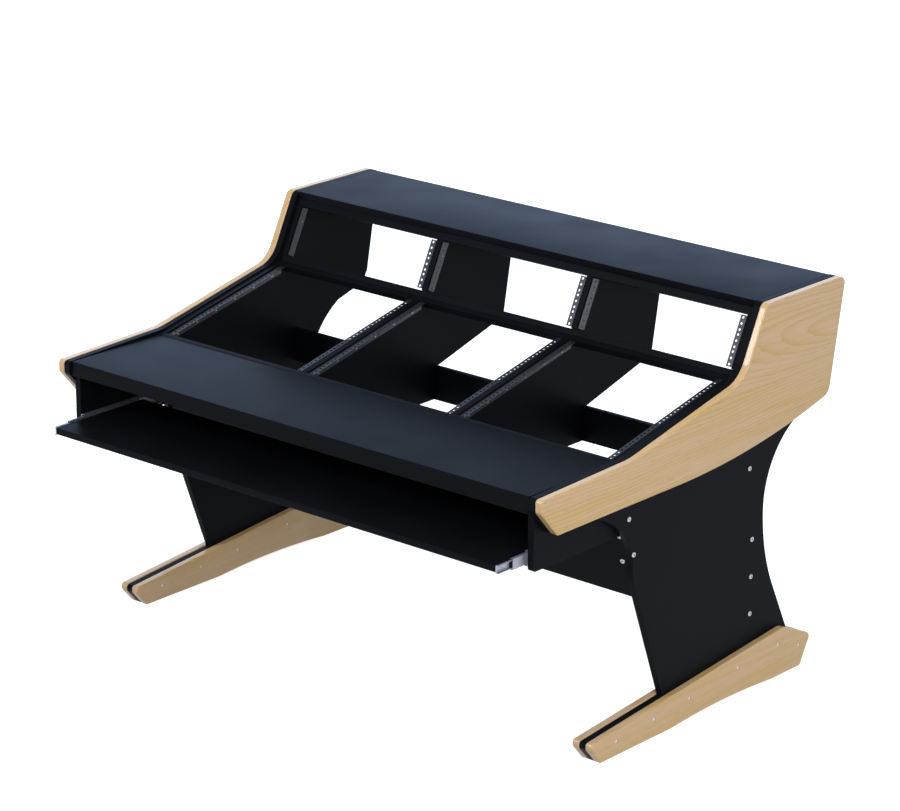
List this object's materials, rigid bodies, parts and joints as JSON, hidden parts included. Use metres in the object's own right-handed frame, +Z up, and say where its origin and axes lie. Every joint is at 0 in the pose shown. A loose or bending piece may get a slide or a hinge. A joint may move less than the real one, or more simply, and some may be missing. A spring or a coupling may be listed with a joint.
{
  "type": "studio desk",
  "caption": "Studio desk with wooden sides, a sloping rack deck, a steep upper rack row, a top shelf, sandwich feet and a pull-out keyboard tray.",
  "frame": {"origin": "middle of the desk's base on the floor, with the tray where it is at rest", "axes": "+X to the right of the person at the desk, +Y to the back, +Z up"},
  "size_m": [1.6238, 1.2716, 1.016],
  "materials": {
    "black_board": "black laminated board, satin",
    "ash_wood": "pale solid hardwood with a long grain, oiled",
    "strip_steel": "black powder coat",
    "slide_steel": "bright zinc plate",
    "bolt_steel": "satin nickel"
  },
  "bodies": {
    "frame": {"side_frame_left": "black_board", "side_frame_right": "black_board", "side_board_left": "ash_wood", "side_board_right": "ash_wood", "foot_cheek_outer_left": "ash_wood", "foot_cheek_outer_right": "ash_wood", "foot_cheek_inner_left": "ash_wood", "foot_cheek_inner_right": "ash_wood", "leg_bolt_1_left": "bolt_steel", "leg_bolt_1_right": "bolt_steel", "leg_bolt_2_left": "bolt_steel", "leg_bolt_2_right": "bolt_steel", "leg_bolt_3_left": "bolt_steel", "leg_bolt_3_right": "bolt_steel", "leg_bolt_4_left": "bolt_steel", "leg_bolt_4_right": "bolt_steel", "leg_bolt_5_left": "bolt_steel", "leg_bolt_5_right": "bolt_steel", "leg_bolt_6_left": "bolt_steel", "leg_bolt_6_right": "bolt_steel", "worktop": "black_board", "deck_panel": "black_board", "tray_side_left": "black_board", "tray_side_right": "black_board", "rack_side_left": "black_board", "rack_side_right": "black_board", "divider_1": "black_board", "divider_2": "black_board", "mid_rail": "black_board", "top_rail": "black_board", "top_back_rail": "black_board", "top_shelf": "black_board", "rear_rail": "black_board", "rear_cross_panel": "black_board", "lower_strip_1_left": "strip_steel", "lower_strip_1_right": "strip_steel", "lower_strip_2_left": "strip_steel", "lower_strip_2_right": "strip_steel", "lower_strip_3_left": "strip_steel", "lower_strip_3_right": "strip_steel", "upper_strip_1_left": "strip_steel", "upper_strip_1_right": "strip_steel", "upper_strip_2_left": "strip_steel", "upper_strip_2_right": "strip_steel", "upper_strip_3_left": "strip_steel", "upper_strip_3_right": "strip_steel", "slide_outer_left": "slide_steel", "slide_outer_right": "slide_steel"},
    "tray": {"keyboard_tray": "black_board", "slide_inner_left": "slide_steel", "slide_inner_right": "slide_steel"},
    "slide_middle_left_body": {"slide_middle_left": "slide_steel"},
    "ball_cage_outer_left_body": {"ball_cage_outer_left": "slide_steel"},
    "ball_cage_inner_left_body": {"ball_cage_inner_left": "slide_steel"},
    "slide_middle_right_body": {"slide_middle_right": "slide_steel"},
    "ball_cage_outer_right_body": {"ball_cage_outer_right": "slide_steel"},
    "ball_cage_inner_right_body": {"ball_cage_inner_right": "slide_steel"}
  },
  "joints": [
    {"name": "tray_slide", "type": "slide", "parent": "frame", "child": "tray", "axis": [0, -1, 0], "range_m": [-0.1, 0.2]},
    {"name": "slide_middle_left_travel", "type": "slide", "parent": "frame", "child": "slide_middle_left_body", "axis": [0, -1, 0], "range_m": [-0.05, 0.1]},
    {"name": "ball_cage_outer_left_travel", "type": "slide", "parent": "frame", "child": "ball_cage_outer_left_body", "axis": [0, -1, 0], "range_m": [-0.025, 0.05]},
    {"name": "ball_cage_inner_left_travel", "type": "slide", "parent": "frame", "child": "ball_cage_inner_left_body", "axis": [0, -1, 0], "range_m": [-0.075, 0.15]},
    {"name": "slide_middle_right_travel", "type": "slide", "parent": "frame", "child": "slide_middle_right_body", "axis": [0, -1, 0], "range_m": [-0.05, 0.1]},
    {"name": "ball_cage_outer_right_travel", "type": "slide", "parent": "frame", "child": "ball_cage_outer_right_body", "axis": [0, -1, 0], "range_m": [-0.025, 0.05]},
    {"name": "ball_cage_inner_right_travel", "type": "slide", "parent": "frame", "child": "ball_cage_inner_right_body", "axis": [0, -1, 0], "range_m": [-0.075, 0.15]}
  ],
  "couplings": [
    {"joint": "slide_middle_left_travel", "follows": "tray_slide", "ratio": 0.5},
    {"joint": "ball_cage_outer_left_travel", "follows": "tray_slide", "ratio": 0.25},
    {"joint": "ball_cage_inner_left_travel", "follows": "tray_slide", "ratio": 0.75},
    {"joint": "slide_middle_right_travel", "follows": "tray_slide", "ratio": 0.5},
    {"joint": "ball_cage_outer_right_travel", "follows": "tray_slide", "ratio": 0.25},
    {"joint": "ball_cage_inner_right_travel", "follows": "tray_slide", "ratio": 0.75}
  ]
}
